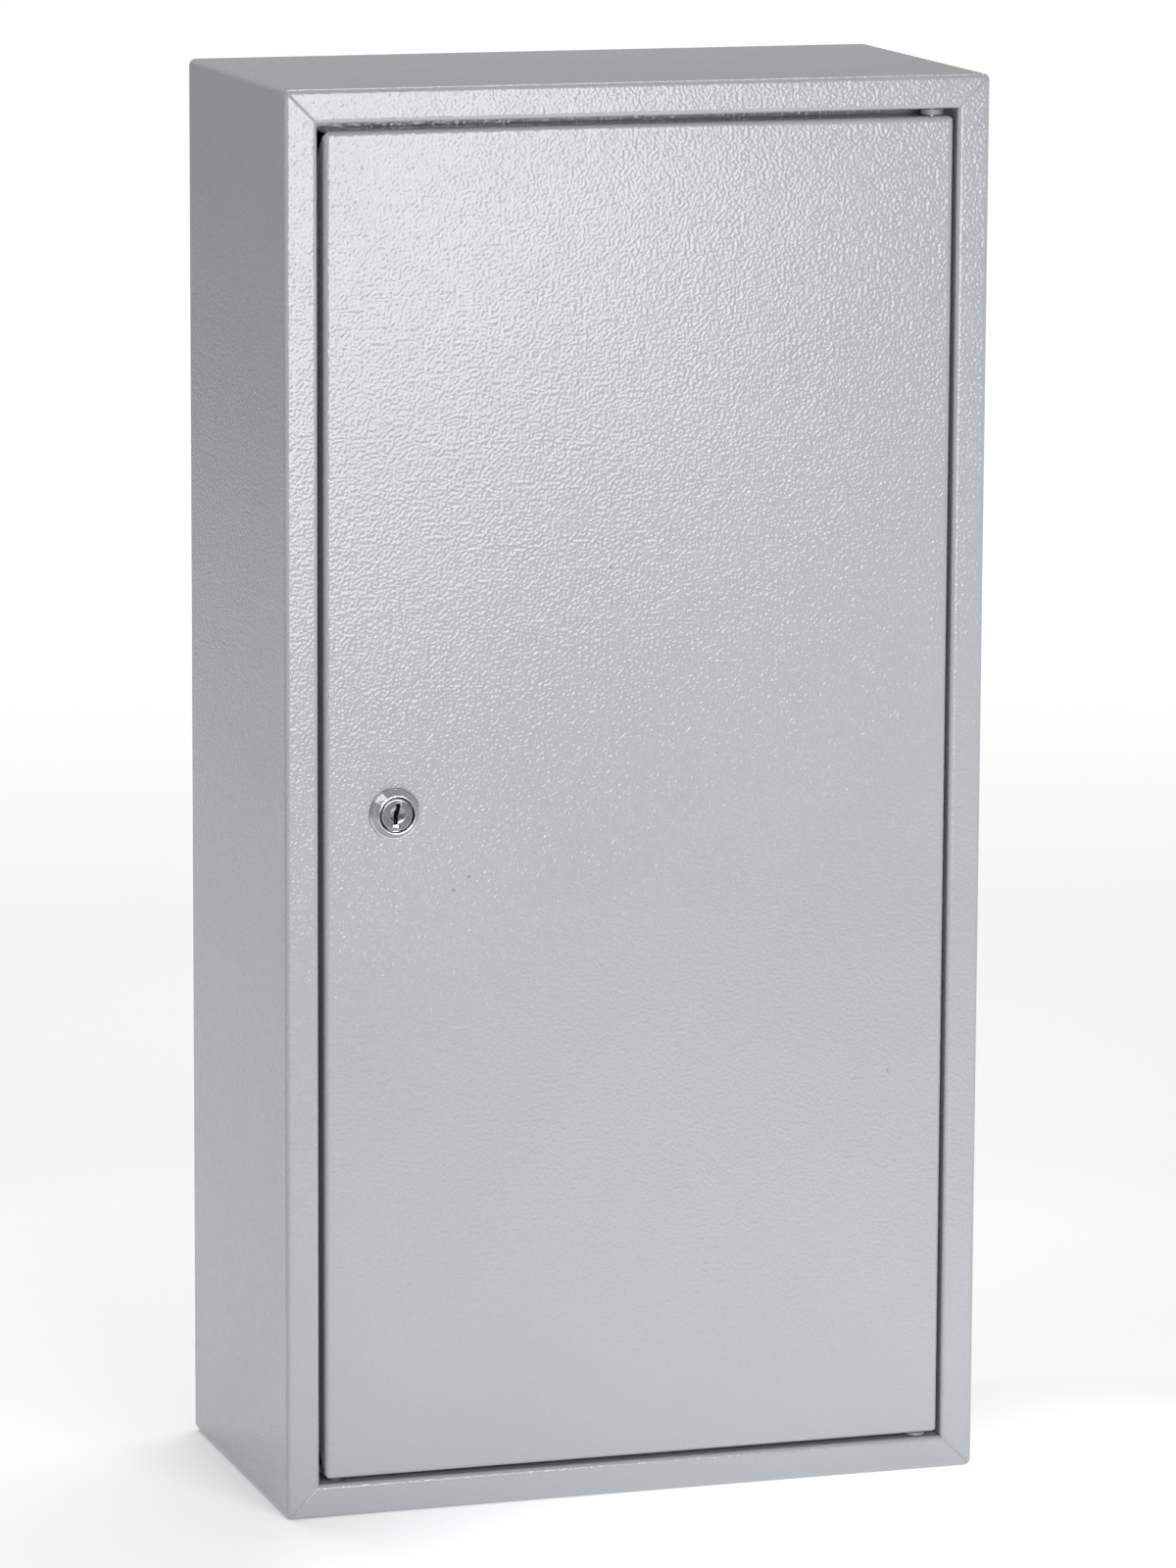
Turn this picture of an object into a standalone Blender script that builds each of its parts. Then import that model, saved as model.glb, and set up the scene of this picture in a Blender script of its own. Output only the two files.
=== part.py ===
"""Wall key cabinet in folded sheet steel, with an inset reversible door, a cam lock and rails of key hooks.

Blender 4.5, metres, +Z up. The origin is the centre of the rear face, which lies on the wall: +X is to the
right of someone facing the door, +Y runs into the wall, and the front of the cabinet is at y = -DEPTH.
The door turns about the vertical pins on its right, and the lock plug turns about its own axis along Y.
The object stands here with its door shut and its lock open, so the cam hangs straight down.
"""

import math

import bmesh
import bpy
from mathutils import Matrix

MM = 0.001

# Driving dimensions of the cabinet
WIDTH = 280 * MM
HEIGHT = 550 * MM
DEPTH = 140 * MM
FIT_GAP = 0.3 * MM  # between pieces that touch on the real cabinet

# Shell: one strip of sheet folded round the four sides, with a mitred front frame
SHELL_SHEET = 1.2 * MM
SHELL_BEND = 2.0 * MM  # outer radius of its bends
FRAME_FACE = 13.0 * MM  # width of the front frame
JAMB_DEPTH = 18.2 * MM  # how far the frame returns into the cabinet
STOP_LIP = 4.0 * MM  # lip at the back of the jamb, which the door stops against
MITRE_SLIT = 0.5 * MM

# Back panel: a shallow pan let into the shell from behind
BACK_RIM = 12 * MM
FIXING_HOLE = 8 * MM
FIXING_SPAN_X = 220 * MM
FIXING_SPAN_Z = 480 * MM

# Door: a pan of thinner sheet, flush with the frame
DOOR_SHEET = 1.0 * MM
DOOR_BEND = 2.5 * MM
DOOR_FLANGE = 13.5 * MM
GAP_LOCK_SIDE = 2.3 * MM
GAP_HINGE_SIDE = 1.6 * MM
GAP_TOP = 2.8 * MM
GAP_BOTTOM = 1.9 * MM
DOOR_WIDTH = WIDTH - 2 * FRAME_FACE - GAP_LOCK_SIDE - GAP_HINGE_SIDE
DOOR_X = (GAP_LOCK_SIDE - GAP_HINGE_SIDE) / 2
DOOR_TOP = HEIGHT / 2 - FRAME_FACE - GAP_TOP
DOOR_BOTTOM = -HEIGHT / 2 + FRAME_FACE + GAP_BOTTOM
DOOR_HEIGHT = DOOR_TOP - DOOR_BOTTOM
DOOR_MIDDLE = (DOOR_TOP + DOOR_BOTTOM) / 2

# Pivot hinges: loose pins through the frame, nylon washers, holes in the door's flanges
HINGE_INSET = 7.5 * MM  # from the door's edge to the pin
HINGE_SETBACK = 6.0 * MM  # from the door's face to the pin
HINGE_HOLE = 5.0 * MM
PIN_SHANK = HINGE_HOLE - 2 * FIT_GAP
PIN_HEAD = 7.0 * MM
PIN_HEAD_THICK = 1.5 * MM
PIN_REACH = 3.0 * MM  # how far the pin passes the inside of the door's flange
WASHER_WIDTH = 8.2 * MM
HINGE_X = DOOR_X + DOOR_WIDTH / 2 - HINGE_INSET

# Cam lock. Heights are measured from the door's face, towards the user.
LOCK_X = -97.3 * MM
HEAD_WIDTH = 19.8 * MM
HEAD_HEIGHT = 4.2 * MM
HEAD_RIM = 15.3 * MM
BARREL_WIDTH = 16.0 * MM
BARREL_FLATS = 14.2 * MM
BARREL_REAR = -18.2 * MM
PLUG_WIDTH = 11.4 * MM
PLUG_FACE_WIDTH = 12.8 * MM
PLUG_FACE = 3.7 * MM
PLUG_SHOULDER = 1.8 * MM
PLUG_REAR = -18.6 * MM
KEYWAY_HEIGHT = 8.2 * MM
KEYWAY_WIDTH = 1.9 * MM
KEYWAY_STEP = 0.8 * MM  # sideways jog between the two halves of the keyway
KEYWAY_DEPTH = 15 * MM
DISH_WIDTH = 6.4 * MM
DISH_DEPTH = 0.8 * MM
STUB = 7.0 * MM  # square end of the plug, which drives the cam
CAM_FRONT = -19.0 * MM
CAM_SHEET = 2.0 * MM
CAM_REACH = 31.0 * MM
CAM_HUB = 16.0 * MM
CAM_TIP = 12.0 * MM
NUT_FLATS = 21.0 * MM
NUT_THICK = 4.0 * MM
STAR_WIDTH = 20.5 * MM
STAR_THICK = 0.8 * MM

# Uprights: hat-shaped channels on the back panel, punched every 20 mm
UPRIGHT_X = 90 * MM
UPRIGHT_LENGTH = 480 * MM
UPRIGHT_WEB = 16 * MM
UPRIGHT_FOOT = 6 * MM
UPRIGHT_DEPTH = 8 * MM
UPRIGHT_SHEET = 1.0 * MM
PUNCH_PITCH = 20 * MM
PUNCH_COUNT = 23
PUNCH_HOLE = 4.6 * MM

# Hook rails: stamped strips with tongues bent out and up
RAIL_COUNT = 6
RAIL_PITCH = 80 * MM
RAIL_WIDTH = 244 * MM
RAIL_ABOVE = 8 * MM  # top edge above the screws
RAIL_BELOW = 18 * MM  # hook arms below the screws
RAIL_SHEET = 1.5 * MM
HOOK_COUNT = 8
HOOK_PITCH = 30 * MM
HOOK_WIDTH = 5 * MM
HOOK_REACH = 22 * MM
HOOK_RISE = 10 * MM
HOOK_BEND = 2.5 * MM  # radius of the tongue's middle line
HOOK_NOSE = 3 * MM  # width of the tongue's rounded end

# Number strips, stuck to the rails above the hooks
STRIP_WIDTH = 232 * MM
STRIP_HEIGHT = 8 * MM
STRIP_THICK = 0.6 * MM
STRIP_DROP = 9 * MM  # centre below the screws

# Rail screws, M4 pan head
SCREW_SHANK = 4.0 * MM
SCREW_HEAD = 7.6 * MM
SCREW_HEAD_THICK = 2.4 * MM
SCREW_LENGTH = 7.0 * MM

BEND_STEPS = 3
ROUND_STEPS = 32
SMALL_STEPS = 16


def clear_scene():
    for leftover in list(bpy.data.objects):
        bpy.data.objects.remove(leftover)


def material(name, colour, roughness, metallic=0.0):
    made = bpy.data.materials.new(name)
    made.use_nodes = True
    shader = made.node_tree.nodes["Principled BSDF"]
    shader.inputs["Base Color"].default_value = (*colour, 1.0)
    shader.inputs["Roughness"].default_value = roughness
    shader.inputs["Metallic"].default_value = metallic
    made.diffuse_color = (*colour, 1.0)
    return made


def add_empty(name, location=(0, 0, 0), parent=None):
    empty = bpy.data.objects.new(name, None)
    bpy.context.scene.collection.objects.link(empty)
    empty.location = location
    empty.parent = parent
    return empty


def to_mesh(name, bm):
    """Closes a bmesh into a mesh with its faces pointing out, shaded smooth except at real edges."""
    bmesh.ops.remove_doubles(bm, verts=bm.verts, dist=1e-6)
    bmesh.ops.dissolve_degenerate(bm, edges=bm.edges, dist=1e-7)
    bmesh.ops.recalc_face_normals(bm, faces=bm.faces)
    mesh = bpy.data.meshes.new(name)
    bm.to_mesh(mesh)
    bm.free()
    mesh.shade_smooth()
    mesh.set_sharp_from_angle(angle=math.radians(35))
    return mesh


def add_piece(name, mesh, finish, parent, location=(0, 0, 0), rotation=(0, 0, 0)):
    if not mesh.materials:
        mesh.materials.append(finish)
    piece = bpy.data.objects.new(name, mesh)
    bpy.context.scene.collection.objects.link(piece)
    piece.parent = parent
    piece.location = location
    piece.rotation_euler = rotation
    return piece


def add_cutter(name, bm, parent=None, location=(0, 0, 0), rotation=(0, 0, 0)):
    """A hidden tool body for Booleans."""
    cutter = bpy.data.objects.new(name, to_mesh(name, bm))
    bpy.context.scene.collection.objects.link(cutter)
    cutter.parent = parent
    cutter.location = location
    cutter.rotation_euler = rotation
    cutter.hide_render = True
    cutter.display_type = "WIRE"
    return cutter


def apply_tool(piece, cutter, operation="DIFFERENCE"):
    boolean = piece.modifiers.new(cutter.name, "BOOLEAN")
    boolean.operation = operation
    boolean.solver = "EXACT"
    boolean.object = cutter


def arc(centre, radius, start, end, steps=BEND_STEPS):
    """Points on an arc about centre, from start to end degrees."""
    angles = [math.radians(start + (end - start) * i / steps) for i in range(steps + 1)]
    return [(centre[0] + radius * math.cos(a), centre[1] + radius * math.sin(a)) for a in angles]


def rounded_loop(half_x, half_z, radius, steps=BEND_STEPS):
    """(x, z) points round a rectangle with rounded corners. At radius 0 each corner's points coincide."""
    loop = []
    for number, (side_x, side_z) in enumerate(((1, 1), (-1, 1), (-1, -1), (1, -1))):
        centre = (side_x * (half_x - radius), side_z * (half_z - radius))
        loop += arc(centre, radius, 90 * number, 90 * number + 90, steps)
    return loop


def sweep_round(profile, half_x, half_z, corner, closed):
    """Carries a profile of (inset, depth) points round a rectangle, in the XZ plane with depth along +Y.

    An inset below the corner radius follows the rounded corner, and a larger one is mitred.
    A closed profile makes a frame, and an open one a pan, whose first and last loops are filled.
    """
    bm = bmesh.new()
    loops = []
    for inset, depth in profile:
        points = rounded_loop(half_x - inset, half_z - inset, max(corner - inset, 0))
        loops.append([bm.verts.new((x, depth, z)) for x, z in points])
    pairs = list(zip(loops, loops[1:]))
    if closed:
        pairs.append((loops[-1], loops[0]))
    else:
        bm.faces.new(loops[0])
        bm.faces.new(loops[-1])
    for near, far in pairs:
        for i in range(len(near)):
            j = (i + 1) % len(near)
            bm.faces.new((near[i], near[j], far[j], far[i]))
    return bm


def turned(outline, steps=ROUND_STEPS):
    """A solid of revolution about local Z from (radius, height) points.

    An outline that starts and ends on the axis is left open there, and any other is closed into a ring.
    """
    bm = bmesh.new()
    verts = [bm.verts.new((radius, 0, height)) for radius, height in outline]
    pairs = list(zip(verts, verts[1:]))
    if outline[0][0] > 0:
        pairs.append((verts[-1], verts[0]))
    edges = [bm.edges.new(pair) for pair in pairs]
    bmesh.ops.spin(
        bm, geom=verts + edges, axis=(0, 0, 1), cent=(0, 0, 0), steps=steps, angle=math.tau, use_merge=True
    )
    return bm


def prism(outline, low, high, bm=None):
    """Extrudes an (x, y) outline along local Z from low to high."""
    bm = bm or bmesh.new()
    bottom = [bm.verts.new((x, y, low)) for x, y in outline]
    top = [bm.verts.new((x, y, high)) for x, y in outline]
    bm.faces.new(bottom)
    bm.faces.new(top)
    for i in range(len(outline)):
        j = (i + 1) % len(outline)
        bm.faces.new((bottom[i], bottom[j], top[j], top[i]))
    return bm


def add_cylinder(bm, diameter, length, centre, axis, steps=SMALL_STEPS):
    """Adds a closed cylinder to a bmesh, along the world axis that is named."""
    quarter = math.pi / 2
    turn = {"X": Matrix.Rotation(quarter, 4, "Y"), "Y": Matrix.Rotation(quarter, 4, "X"), "Z": Matrix()}
    bmesh.ops.create_cone(
        bm,
        cap_ends=True,
        segments=steps,
        radius1=diameter / 2,
        radius2=diameter / 2,
        depth=length,
        matrix=Matrix.Translation(centre) @ turn[axis],
    )


def add_box(bm, size, centre, turn=0.0):
    """Adds a box to a bmesh, turned about Y by an angle in degrees."""
    place = Matrix.Translation(centre) @ Matrix.Rotation(math.radians(turn), 4, "Y")
    bmesh.ops.create_cube(bm, size=1.0, matrix=place @ Matrix.Diagonal((*size, 1.0)))


def front(depth):
    """World y of a plane this far behind the cabinet's front."""
    return -DEPTH + depth


# ---------------------------------------------------------------- the cabinet


def shell_profile():
    """The folded section of one side: outer wall, front frame, jamb and stop lip, as (inset, depth)."""
    inner_bend = SHELL_BEND - SHELL_SHEET
    outer_corner = (SHELL_BEND, SHELL_BEND)
    frame_corner = (FRAME_FACE - SHELL_BEND, SHELL_BEND)
    lip_corner = (FRAME_FACE + inner_bend, JAMB_DEPTH - SHELL_BEND)
    lip_edge = FRAME_FACE + STOP_LIP
    return (
        [(0, DEPTH)]
        + arc(outer_corner, SHELL_BEND, 180, 270)
        + arc(frame_corner, SHELL_BEND, 270, 360)
        + arc(lip_corner, inner_bend, 180, 90)
        + [(lip_edge, JAMB_DEPTH - SHELL_SHEET), (lip_edge, JAMB_DEPTH)]
        + arc(lip_corner, SHELL_BEND, 90, 180)
        + arc(frame_corner, inner_bend, 360, 270)
        + arc(outer_corner, inner_bend, 270, 180)
        + [(SHELL_SHEET, DEPTH)]
    )


def shell_cutter():
    """Mitre slits through the frame's corners, and the four hinge-pin holes in the jambs."""
    bm = bmesh.new()
    slit_start = SHELL_BEND + 0.4 * MM
    slit_end = FRAME_FACE + STOP_LIP + 2 * MM
    middle = (slit_start + slit_end) / 2
    length = (slit_end - slit_start) * math.sqrt(2)
    slit_depth = JAMB_DEPTH + 2 * MM
    for side_x in (-1, 1):
        for side_z in (-1, 1):
            centre = (side_x * (WIDTH / 2 - middle), front(JAMB_DEPTH / 2), side_z * (HEIGHT / 2 - middle))
            add_box(bm, (length, slit_depth, MITRE_SLIT), centre, turn=-45 * side_x * side_z)
            jamb = side_z * (HEIGHT / 2 - FRAME_FACE + SHELL_SHEET / 2)
            pin = (side_x * HINGE_X, front(HINGE_SETBACK), jamb)
            add_cylinder(bm, HINGE_HOLE, 3 * SHELL_SHEET, pin, "Z")
    return bm


def build_shell(parent, paint):
    bm = sweep_round(shell_profile(), WIDTH / 2, HEIGHT / 2, SHELL_BEND, closed=True)
    shell = add_piece("body_shell", to_mesh("body_shell", bm), paint, parent, location=(0, -DEPTH, 0))
    apply_tool(shell, add_cutter("shell_cutter", shell_cutter()))


def pan_profile(rim, sheet, bend_radius):
    """Section of a folded pan as (inset, depth), from its face round the rim to the inside of the face."""
    corner = (bend_radius, bend_radius)
    outside = arc(corner, bend_radius, 270, 180)
    return outside + [(0, rim), (sheet, rim)] + arc(corner, bend_radius - sheet, 180, 270)


def build_back_panel(parent, paint):
    """The pan's face lies on the wall, and its rim points forwards inside the shell."""
    inset = SHELL_SHEET + FIT_GAP
    profile = pan_profile(BACK_RIM, SHELL_SHEET, SHELL_BEND)
    bm = sweep_round(profile, WIDTH / 2 - inset, HEIGHT / 2 - inset, 0.5 * MM, closed=False)
    mesh = to_mesh("back_panel", bm)
    panel = add_piece("back_panel", mesh, paint, parent, rotation=(0, 0, math.pi))
    holes = bmesh.new()
    for side_x in (-1, 1):
        for side_z in (-1, 1):
            centre = (side_x * FIXING_SPAN_X / 2, 0, side_z * FIXING_SPAN_Z / 2)
            add_cylinder(holes, FIXING_HOLE, 6 * SHELL_SHEET, centre, "Y", steps=24)
    apply_tool(panel, add_cutter("fixing_holes", holes))


def build_hinge(name, side_z, gap, parent, steel, nylon):
    """One pivot: a headed pin dropped through the jamb, and the washer between jamb and door."""
    jamb_face = side_z * (HEIGHT / 2 - FRAME_FACE)
    shank_end = -(gap + DOOR_SHEET + PIN_REACH)
    head_seat = SHELL_SHEET + FIT_GAP
    radius = PIN_SHANK / 2
    chamfer = 0.6 * MM
    pin = [
        (0, shank_end),
        (radius - chamfer, shank_end),
        (radius, shank_end + chamfer),
        (radius, head_seat),
        (PIN_HEAD / 2, head_seat),
        (PIN_HEAD / 2, head_seat + PIN_HEAD_THICK),
        (0, head_seat + PIN_HEAD_THICK),
    ]
    washer = [
        (HINGE_HOLE / 2, -FIT_GAP),
        (WASHER_WIDTH / 2, -FIT_GAP),
        (WASHER_WIDTH / 2, -gap + FIT_GAP),
        (HINGE_HOLE / 2, -gap + FIT_GAP),
    ]
    turn = 0 if side_z > 0 else math.pi
    place = {"location": (HINGE_X, front(HINGE_SETBACK), jamb_face), "rotation": (turn, 0, 0)}
    pin_mesh = to_mesh(f"hinge_pin_{name}", turned(pin, SMALL_STEPS))
    add_piece(f"hinge_pin_{name}", pin_mesh, steel, parent, **place)
    washer_mesh = to_mesh(f"hinge_washer_{name}", turned(washer, 24))
    add_piece(f"hinge_washer_{name}", washer_mesh, nylon, parent, **place)


# ------------------------------------------------------------- the key rails


def upright_section():
    """Hat section as (x, y), its feet on the back panel and its web facing the door."""
    rear = -SHELL_SHEET - FIT_GAP
    web = rear - UPRIGHT_DEPTH
    half = UPRIGHT_WEB / 2
    foot = half + UPRIGHT_FOOT
    thick = UPRIGHT_SHEET
    left = [
        (-foot, rear),
        (-foot, rear - thick),
        (-half, rear - thick),
        (-half, web),
    ]
    right = [(-x, y) for x, y in reversed(left)]
    inside = [
        (half - thick, rear),
        (half - thick, web + thick),
        (-half + thick, web + thick),
        (-half + thick, rear),
    ]
    return left + right + inside


def rail_height(number):
    """World z of the screws of rail 1 to RAIL_COUNT, counted from the top."""
    return ((RAIL_COUNT + 1) / 2 - number) * RAIL_PITCH


def punch_cutter(heights):
    """Round holes along Y at both uprights, at each of these heights."""
    bm = bmesh.new()
    for side in (-1, 1):
        for height in heights:
            centre = (side * UPRIGHT_X, -SHELL_SHEET - UPRIGHT_DEPTH - FIT_GAP, height)
            add_cylinder(bm, PUNCH_HOLE, UPRIGHT_DEPTH, centre, "Y", steps=12)
    return bm


def build_uprights(parent, zinc):
    heights = [(i - (PUNCH_COUNT - 1) / 2) * PUNCH_PITCH for i in range(PUNCH_COUNT)]
    cutter = add_cutter("upright_holes", punch_cutter(heights))
    mesh = to_mesh("upright", prism(upright_section(), -UPRIGHT_LENGTH / 2, UPRIGHT_LENGTH / 2))
    for name, side in (("left", -1), ("right", 1)):
        upright = add_piece(f"upright_{name}", mesh, zinc, parent, location=(side * UPRIGHT_X, 0, 0))
        apply_tool(upright, cutter)


def tongue_path():
    """(y, z) of a hook's middle line, from the bottom edge of the strip to the end of the tongue."""
    arm = -RAIL_BELOW
    inner = (-HOOK_BEND, arm + HOOK_BEND)
    outer = (-HOOK_REACH + HOOK_BEND, arm + HOOK_BEND)
    tip = arm + HOOK_RISE
    return (
        arc(inner, HOOK_BEND, 360, 270, steps=2)
        + arc(outer, HOOK_BEND, 270, 180, steps=2)
        + [(-HOOK_REACH, tip - 1.5 * MM), (-HOOK_REACH, tip)]
    )


def rail_surface():
    """Middle surface of a hook rail: the strip, with a tongue bent out under it at each hook."""
    bm = bmesh.new()
    path = tongue_path()
    top, bottom = RAIL_ABOVE, path[0][1]
    hooks = [(i - (HOOK_COUNT - 1) / 2) * HOOK_PITCH for i in range(HOOK_COUNT)]
    edges = sorted([x + side * HOOK_WIDTH / 2 for x in hooks for side in (-1, 1)])
    columns = [-RAIL_WIDTH / 2, *edges, RAIL_WIDTH / 2]
    upper = [bm.verts.new((x, 0, top)) for x in columns]
    lower = [bm.verts.new((x, 0, bottom)) for x in columns]
    for i in range(len(columns) - 1):
        bm.faces.new((upper[i], upper[i + 1], lower[i + 1], lower[i]))
    for number, middle in enumerate(hooks):
        row = [lower[1 + 2 * number], lower[2 + 2 * number]]
        for y, z in path[1:]:
            half = (HOOK_NOSE if z == path[-1][1] and y == path[-1][0] else HOOK_WIDTH) / 2
            next_row = [bm.verts.new((middle - half, y, z)), bm.verts.new((middle + half, y, z))]
            bm.faces.new((row[0], row[1], next_row[1], next_row[0]))
            row = next_row
    return bm


def build_rails(parent, zinc, plastic):
    """Each rail is screwed to both uprights and carries its own strip of hook numbers."""
    heights = [rail_height(number) for number in range(1, RAIL_COUNT + 1)]
    cutter = add_cutter("rail_holes", punch_cutter(heights))
    rail_mesh = to_mesh("hook_rail", rail_surface())
    corners = rounded_loop(STRIP_WIDTH / 2, STRIP_HEIGHT / 2, 1 * MM, steps=2)
    strip_mesh = to_mesh("number_strip", prism(corners, 0, STRIP_THICK))
    outline = screw_outline(SCREW_SHANK, SCREW_HEAD, SCREW_HEAD_THICK, SCREW_LENGTH)
    screw_mesh = to_mesh("rail_screw", turned(outline, 12))
    rail_rear = -SHELL_SHEET - UPRIGHT_DEPTH - 2 * FIT_GAP
    rail_front = rail_rear - RAIL_SHEET
    facing = (math.pi / 2, 0, 0)
    for number, height in enumerate(heights, start=1):
        middle = (0, (rail_rear + rail_front) / 2, height)
        rail = add_piece(f"hook_rail_{number}", rail_mesh, zinc, parent, location=middle)
        solid = rail.modifiers.new("sheet", "SOLIDIFY")
        solid.thickness = RAIL_SHEET
        solid.offset = 0
        solid.use_even_offset = True
        apply_tool(rail, cutter)
        strip_place = (0, rail_front - FIT_GAP, height - STRIP_DROP)
        name = f"number_strip_{number}"
        add_piece(name, strip_mesh, plastic, parent, location=strip_place, rotation=facing)
        for name, side in (("left", -1), ("right", 1)):
            screw_place = (side * UPRIGHT_X, rail_front - FIT_GAP, height)
            add_piece(f"rail_screw_{number}_{name}", screw_mesh, zinc, parent, screw_place, facing)


def screw_outline(shank, head, head_thick, length):
    """Pan-head screw about local Z: the head above z = 0, the shank below."""
    crown = 0.6 * MM
    return [
        (0, -length),
        (shank / 2, -length),
        (shank / 2, 0),
        (head / 2, 0),
        (head / 2, head_thick - 2 * crown),
        (head / 2 - 1.2 * MM, head_thick - crown / 2),
        (0, head_thick),
    ]


# ------------------------------------------------------------------ the door


def corner_relief():
    """Cuts the ends of the side flanges back at 45 degrees, so that the folded flanges clear each other."""
    bm = bmesh.new()
    start = DOOR_BEND + 0.3 * MM
    beyond = DOOR_FLANGE + 2 * MM
    for side_x in (-1, 1):
        outer = side_x * (DOOR_WIDTH / 2 + 1 * MM)
        inner = side_x * (DOOR_WIDTH / 2 - DOOR_SHEET - 0.3 * MM)
        for side_z in (-1, 1):
            edge = side_z * DOOR_HEIGHT / 2
            wedge = [
                (start, edge + side_z * 1 * MM),
                (beyond, edge + side_z * 1 * MM),
                (beyond, edge - side_z * (beyond - start)),
                (start, edge - side_z * 0.5 * MM),
            ]
            near = [bm.verts.new((outer, y, z)) for y, z in wedge]
            far = [bm.verts.new((inner, y, z)) for y, z in wedge]
            bm.faces.new(near)
            bm.faces.new(far)
            for i in range(4):
                j = (i + 1) % 4
                bm.faces.new((near[i], near[j], far[j], far[i]))
    return bm


def double_d(diameter, flats):
    """Outline of a circle with two upright flats, as the lock barrel and its hole have."""
    edge = math.degrees(math.acos(flats / diameter))
    steps = 10
    upper = arc((0, 0), diameter / 2, edge, 180 - edge, steps)
    return upper + arc((0, 0), diameter / 2, 180 + edge, 360 - edge, steps)


def build_door_panel(parent, paint):
    """The pan, with hinge holes at both ends of its top and bottom flanges, so it hangs on either side."""
    profile = pan_profile(DOOR_FLANGE, DOOR_SHEET, DOOR_BEND)
    bm = sweep_round(profile, DOOR_WIDTH / 2, DOOR_HEIGHT / 2, 0.8 * MM, closed=False)
    place = (DOOR_X - HINGE_X, -HINGE_SETBACK, DOOR_MIDDLE)
    door = add_piece("door_panel", to_mesh("door_panel", bm), paint, parent, location=place)
    apply_tool(door, add_cutter("corner_relief", corner_relief(), parent, place))
    holes = bmesh.new()
    for side_x in (-1, 1):
        for side_z in (-1, 1):
            from_middle = DOOR_WIDTH / 2 - HINGE_INSET
            centre = (side_x * from_middle, HINGE_SETBACK, side_z * (DOOR_HEIGHT - DOOR_SHEET) / 2)
            add_cylinder(holes, HINGE_HOLE, 3 * DOOR_SHEET, centre, "Z")
    apply_tool(door, add_cutter("hinge_holes", holes, parent, place))
    slot = prism(double_d(BARREL_WIDTH + 2 * FIT_GAP, BARREL_FLATS + 2 * FIT_GAP), -3 * MM, 3 * MM)
    lock_place = (LOCK_X - HINGE_X, -HINGE_SETBACK, DOOR_MIDDLE)
    apply_tool(door, add_cutter("lock_hole", slot, parent, lock_place, rotation=(math.pi / 2, 0, 0)))


# ------------------------------------------------------------------ the lock


def build_lock_housing(parent, place, chrome):
    """Domed head on the door's face and a flatted barrel through it, bored for the plug."""
    bore = PLUG_WIDTH / 2 + FIT_GAP
    face_bore = PLUG_FACE_WIDTH / 2 + FIT_GAP
    rim = HEAD_RIM / 2
    wall = 1.5 * MM
    dome = HEAD_WIDTH / 2 - rim
    dome_angles = (math.pi / 6, math.pi / 3)
    outline = (
        [(bore, BARREL_REAR), (BARREL_WIDTH / 2, BARREL_REAR), (BARREL_WIDTH / 2, FIT_GAP)]
        + [(HEAD_WIDTH / 2, FIT_GAP), (HEAD_WIDTH / 2, wall)]
        + [(rim + dome * math.cos(a), wall + (HEAD_HEIGHT - wall) * math.sin(a)) for a in dome_angles]
        + [(rim, HEAD_HEIGHT), (face_bore, HEAD_HEIGHT), (face_bore, PLUG_SHOULDER), (bore, PLUG_SHOULDER)]
    )
    housing = add_piece("lock_housing", to_mesh("lock_housing", turned(outline)), chrome, parent, **place)
    flats = bmesh.new()
    for side in (-1, 1):
        add_box(flats, (5 * MM, 20 * MM, 20 * MM), (side * (BARREL_FLATS / 2 + 2.5 * MM), 0, -10 * MM))
    apply_tool(housing, add_cutter("barrel_flats", flats, parent, **place))


def keyway_outline():
    """Keyway as (x, y), its upper half stepped to the right of its lower half."""
    half = KEYWAY_WIDTH / 2
    step = KEYWAY_STEP / 2
    top = KEYWAY_HEIGHT / 2
    slope = KEYWAY_STEP
    return [
        (step - half, top),
        (step - half, slope),
        (-step - half, -slope / 2),
        (-step - half, -top),
        (-step + half, -top),
        (-step + half, -slope),
        (step + half, slope / 2),
        (step + half, top),
    ]


def build_lock_plug(parent, place, nickel):
    """The turning core: dished face with the keyway, round body, square stub at the rear."""
    radius = PLUG_WIDTH / 2
    face = PLUG_FACE_WIDTH / 2
    chamfer = 0.4 * MM
    outline = [
        (0, PLUG_REAR),
        (radius, PLUG_REAR),
        (radius, PLUG_SHOULDER + FIT_GAP),
        (face, PLUG_SHOULDER + FIT_GAP),
        (face, PLUG_FACE - chamfer),
        (face - chamfer, PLUG_FACE),
        (DISH_WIDTH / 2, PLUG_FACE),
        (0, PLUG_FACE - DISH_DEPTH),
    ]
    plug = add_piece("lock_plug", to_mesh("lock_plug", turned(outline)), nickel, parent, **place)
    stub = bmesh.new()
    stub_rear = CAM_FRONT - CAM_SHEET - 0.2 * MM
    overlap = 2 * MM
    stub_length = PLUG_REAR - stub_rear + overlap
    add_box(stub, (STUB, STUB, stub_length), (0, 0, stub_rear + stub_length / 2))
    apply_tool(plug, add_cutter("plug_stub", stub, parent, **place), "UNION")
    slot = prism(keyway_outline(), PLUG_FACE - KEYWAY_DEPTH, PLUG_FACE + 1 * MM)
    apply_tool(plug, add_cutter("keyway", slot, parent, **place))
    tapped = bmesh.new()
    tapped_depth = 5 * MM
    add_cylinder(tapped, SCREW_SHANK, 2 * tapped_depth, (0, 0, stub_rear), "Z")
    apply_tool(plug, add_cutter("plug_thread", tapped, parent, **place))


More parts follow.
